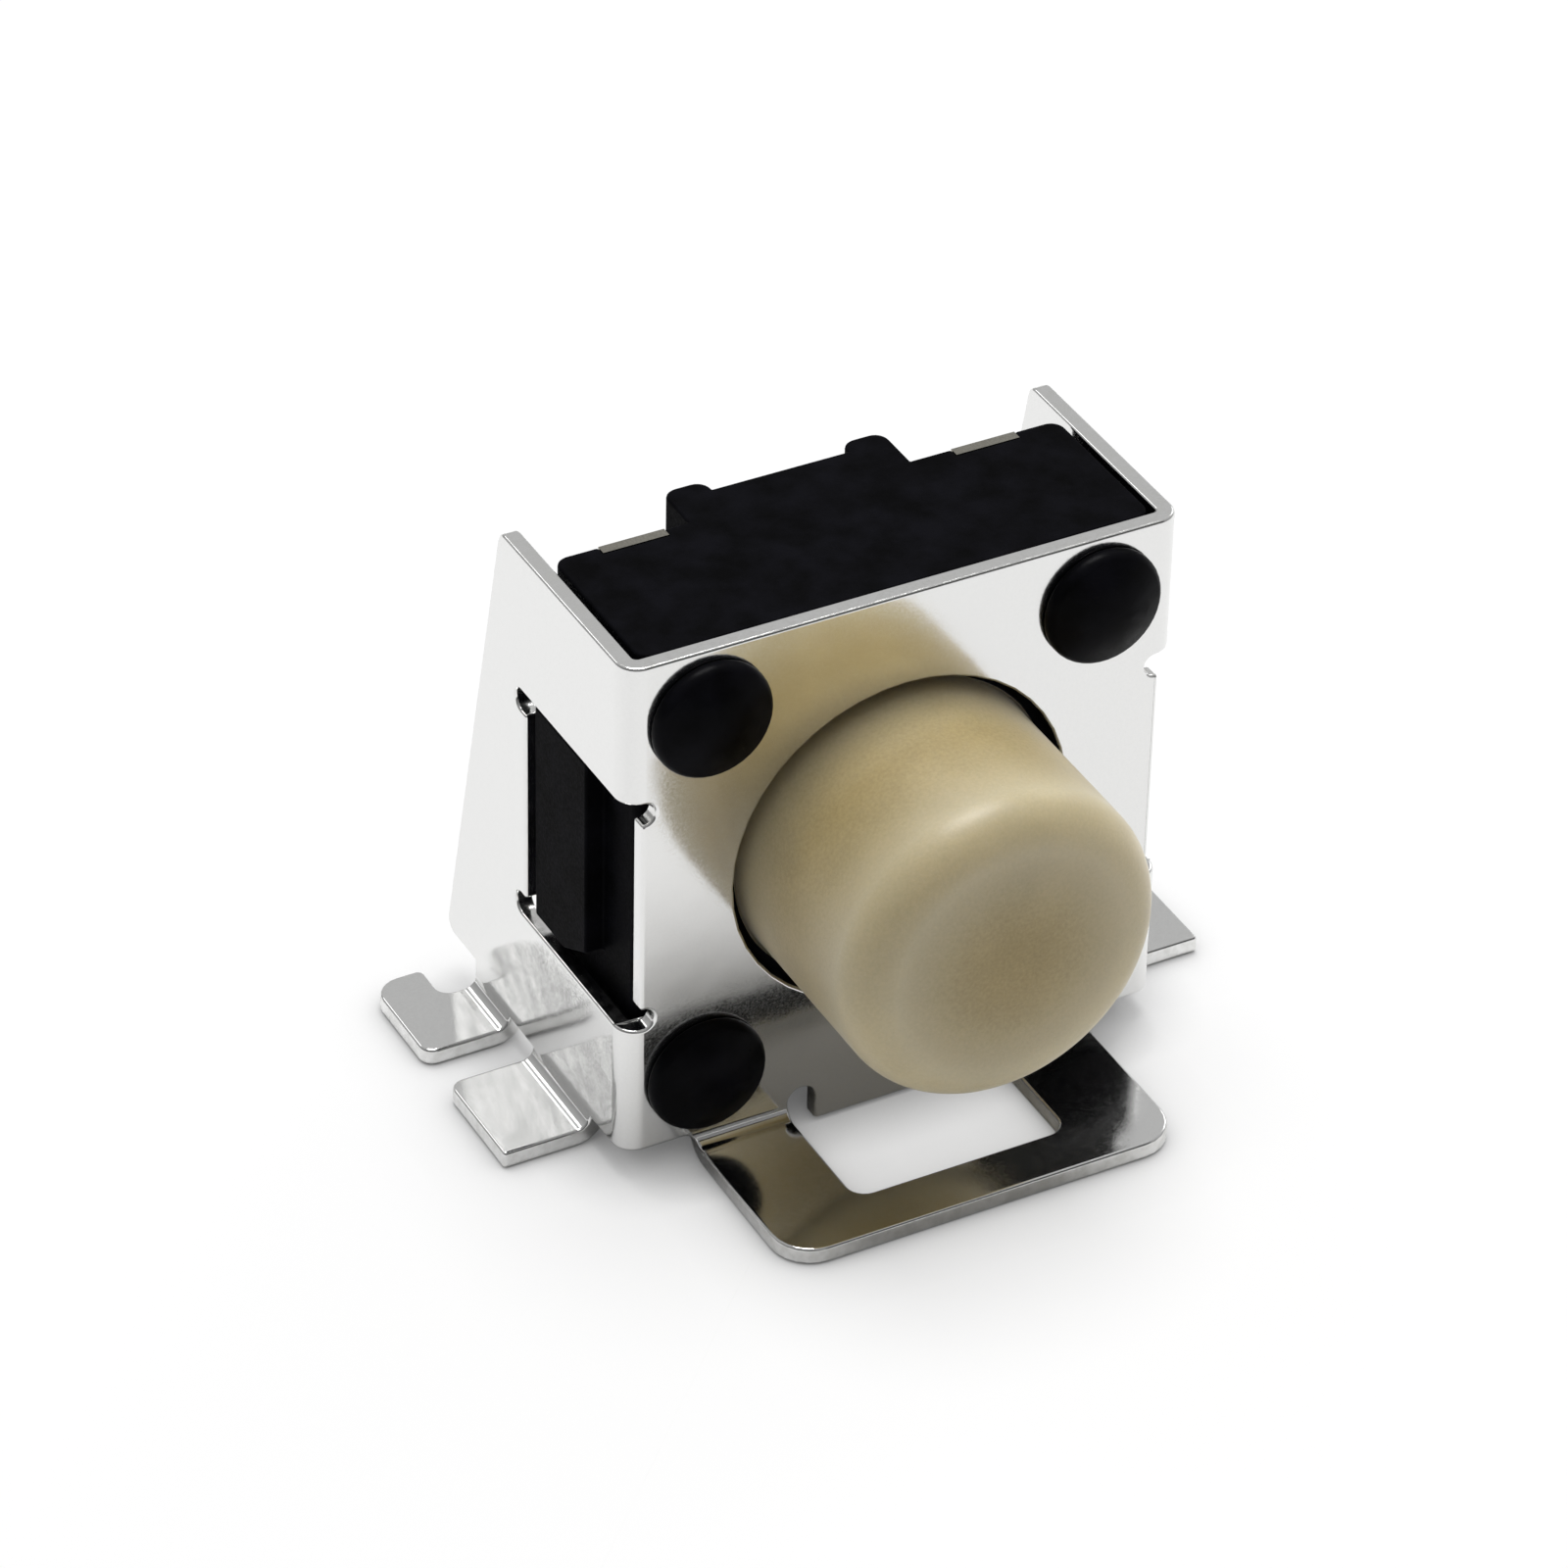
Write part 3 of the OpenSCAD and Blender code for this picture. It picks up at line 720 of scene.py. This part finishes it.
class SWITCH_OT_contacts(bpy.types.Operator):
    """Give the snap dome and the terminal strips their metal"""
    bl_idname = "switch.contacts"
    bl_label = "Contacts"

    def execute(self, context):
        s = settings().contacts
        silver = plated_strip("silver_plated_strip", s.silver_colour, roughness=0.22)
        steel = plated_strip("stainless_spring_sheet", s.steel_colour, roughness=0.3)
        for name in ("terminal_left", "terminal_right"):
            node = frame["nodes"][name]
            node.data.materials.clear()
            node.data.materials.append(silver)
        dome = copy_of_node("contact_dome", "snap_dome", steel)
        finish_piece(dome, "base")
        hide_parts("contact_dome")
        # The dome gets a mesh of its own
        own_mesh(dome)
        return {"FINISHED"}


class SWITCH_OT_stage(bpy.types.Operator):
    """Set the white floor, the soft lamps and the camera"""
    bl_idname = "switch.stage"
    bl_label = "Stage"

    def execute(self, context):
        s = settings().stage
        scene = context.scene
        scene.view_settings.view_transform = "Standard"
        self.add_floor(s)
        self.add_card(s)
        self.set_world(scene, s)
        for name, place, size, power in LAMPS:
            self.add_lamp(name, place, size, getattr(s, power))
        self.add_camera(scene, s)
        return {"FINISHED"}

    def add_floor(self, s):
        """A floor of white paper with the soft shadow of the switch on it, cast by the lamps and
        deepened under the metal by a painted shadow.
        """
        deselect_all()
        bpy.ops.mesh.primitive_plane_add(size=FLOOR_SIZE, location=(0.0, 0.0, -FLOOR_DROP))
        floor = bpy.context.object
        floor.name = "floor"
        material, tree, output = new_material("white_paper_floor")
        path = add_node(tree, "ShaderNodeLightPath")
        # The switch is lit by white paper, and mirrors it with its own shadow on it
        paper = add_node(tree, "ShaderNodeMix",
                         {"A": linear(s.paper_colour), "B": linear(s.floor_colour)},
                         {"Factor": path.outputs["Is Camera Ray"]}, data_type="RGBA")
        diffuse = add_node(tree, "ShaderNodeBsdfDiffuse", links={"Color": paper.outputs["Result"]})
        # The camera sees the paper as white with a faint shadow; right under the metal the glow is
        # dimmed by ambient occlusion, a painted shadow
        painted_shadow_ao = add_node(tree, "ShaderNodeAmbientOcclusion", {"Distance": s.shadow_reach})
        shaded = add_node(tree, "ShaderNodeMath", {1: s.floor_glow}, {0: painted_shadow_ao.outputs["AO"]},
                          operation="MULTIPLY")
        level = add_node(tree, "ShaderNodeMath",
                         links={0: path.outputs["Is Camera Ray"], 1: shaded.outputs["Value"]},
                         operation="MULTIPLY")
        glow = add_node(tree, "ShaderNodeEmission", links={"Strength": level.outputs["Value"]})
        both = add_node(tree, "ShaderNodeAddShader",
                        links={0: diffuse.outputs["BSDF"], 1: glow.outputs["Emission"]})
        tree.links.new(both.outputs["Shader"], output.inputs["Surface"])
        floor.data.materials.append(material)

    def add_card(self, s):
        """A dark card at the front right that the bright metal mirrors."""
        deselect_all()
        bpy.ops.mesh.primitive_plane_add(
            size=CARD_SIZE, location=CARD_DIRECTION * CARD_DISTANCE,
            rotation=CARD_DIRECTION.to_track_quat("Z", "Y").to_euler())
        card = bpy.context.object
        card.name = "dark_card"
        material, tree, output = new_material("black_card")
        shader = add_node(tree, "ShaderNodeBsdfDiffuse", {"Color": linear(s.card_colour)})
        tree.links.new(shader.outputs["BSDF"], output.inputs["Surface"])
        card.data.materials.append(material)
        card.visible_camera = False
        card.visible_shadow = False

    def set_world(self, scene, s):
        """White for the camera, and a soft light that comes mostly from behind and above."""
        world = bpy.data.worlds.new("studio")
        scene.world = world
        world.use_nodes = True
        tree = world.node_tree
        tree.nodes.clear()
        path = add_node(tree, "ShaderNodeLightPath")
        seen = add_node(tree, "ShaderNodeMath",
                        links={0: path.outputs["Is Camera Ray"],
                               1: path.outputs["Is Transmission Ray"]},
                        operation="MAXIMUM")
        direction = add_node(tree, "ShaderNodeTexCoord").outputs["Generated"]
        toward = add_node(tree, "ShaderNodeVectorMath", {1: LIGHT_DIRECTION}, {0: direction},
                          operation="DOT_PRODUCT")
        level = map_range(tree, toward.outputs["Value"], (-1.0, 1.0), (s.world_low, s.world_high))
        soft = add_node(tree, "ShaderNodeBackground", {"Color": WHITE}, {"Strength": level})
        white = add_node(tree, "ShaderNodeBackground", {"Color": WHITE, "Strength": 1.0})
        mixed = add_node(tree, "ShaderNodeMixShader",
                         links={"Fac": seen.outputs["Value"], 1: soft.outputs["Background"],
                                2: white.outputs["Background"]})
        output = add_node(tree, "ShaderNodeOutputWorld")
        tree.links.new(mixed.outputs["Shader"], output.inputs["Surface"])

    def add_lamp(self, name, place, size, power):
        """A round soft lamp that shines at the middle of the button's axis."""
        data = bpy.data.lights.new(name, "AREA")
        data.shape = "DISK"
        data.size = size
        data.energy = power
        lamp = bpy.data.objects.new(name, data)
        bpy.context.scene.collection.objects.link(lamp)
        lamp.location = place
        middle = Vector((0.0, 0.0, AXIS_Z))
        lamp.rotation_euler = (middle - lamp.location).to_track_quat("-Z", "Y").to_euler()

    def add_camera(self, scene, s):
        """The camera that took the photograph, as it was worked out from its edges."""
        data = bpy.data.cameras.new("camera")
        data.sensor_width = SENSOR_WIDTH
        data.lens = s.lens
        data.clip_start, data.clip_end = CLIP_START, CLIP_END
        camera = bpy.data.objects.new("camera", data)
        scene.collection.objects.link(camera)
        back = Vector((math.sin(s.azimuth) * math.cos(s.elevation),
                       -math.cos(s.azimuth) * math.cos(s.elevation), math.sin(s.elevation)))
        level = Vector((0.0, 0.0, 1.0)).cross(back).normalized()
        side = Matrix.Rotation(s.roll, 3, back) @ level
        up = back.cross(side)
        rotation = Matrix((side, up, back)).transposed().to_4x4()
        camera.matrix_world = Matrix.Translation(Vector(s.target) + back * s.distance) @ rotation
        scene.camera = camera


class SWITCH_PT_parts(bpy.types.Panel):
    """Lists the steps that dress the switch"""
    bl_idname = "SWITCH_PT_parts"
    bl_label = "Tactile switch"
    bl_space_type = "VIEW_3D"
    bl_region_type = "UI"
    bl_category = "Switch"

    def draw(self, context):
        for group in ("sheet", "moulding", "button", "contacts", "stage"):
            box = self.layout.box()
            values = getattr(context.scene.switch_settings, group)
            for name in values.__annotations__:
                box.prop(values, name)
        for operator in STEPS:
            self.layout.operator(operator.bl_idname)


STEPS = (SWITCH_OT_bracket, SWITCH_OT_base, SWITCH_OT_guide_lip, SWITCH_OT_button,
         SWITCH_OT_contacts, SWITCH_OT_stage)
CLASSES = (SheetSettings, MouldingSettings, ButtonSettings, ContactSettings, StageSettings,
           SwitchSettings, *STEPS, SWITCH_PT_parts)


def register():
    for cls in CLASSES:
        bpy.utils.register_class(cls)
    bpy.types.Scene.switch_settings = PointerProperty(type=SwitchSettings)


def unregister():
    del bpy.types.Scene.switch_settings
    for cls in reversed(CLASSES):
        bpy.utils.unregister_class(cls)


def main():
    register()
    bpy.ops.switch.bracket()
    bpy.ops.switch.base()
    bpy.ops.switch.guide_lip()
    bpy.ops.switch.button()
    bpy.ops.switch.contacts()
    bpy.ops.switch.stage()


if __name__ == "__main__":
    main()
